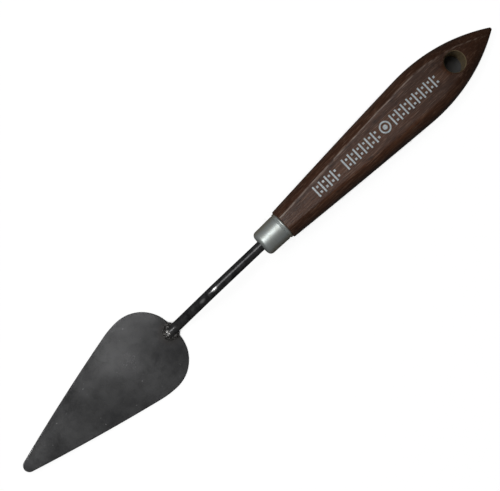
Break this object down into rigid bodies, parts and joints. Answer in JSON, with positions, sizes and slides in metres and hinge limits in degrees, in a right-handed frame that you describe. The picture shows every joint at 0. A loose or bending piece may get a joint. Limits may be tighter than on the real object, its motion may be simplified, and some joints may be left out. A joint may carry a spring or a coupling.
{
  "type": "palette knife",
  "caption": "Cranked painting knife: a trowel-shaped steel blade welded to a bent round neck, held by a metal ferrule in a shaped wooden handle with a hanging hole.",
  "frame": {"origin": "half-way along the knife, on its mid-plane, level with the blade's underside", "axes": "+X from the blade's tip to the handle's point, +Y across the blade, +Z out of the blade face that the neck is welded to"},
  "size_m": [0.214, 0.03, 0.0174],
  "materials": {
    "blade_steel": "satin, finely ground",
    "neck_steel": "dark, polished",
    "weld_metal": "rough, heat-darkened",
    "ferrule_metal": "satin, drawn",
    "handle_wood": "dark stain under satin varnish",
    "set_glue": "set resin"
  },
  "bodies": {
    "root": {"blade": "blade_steel", "neck_rod": "neck_steel", "weld_bead": "weld_metal", "ferrule": "ferrule_metal", "handle": "handle_wood", "tang_glue": "set_glue"}
  },
  "joints": []
}
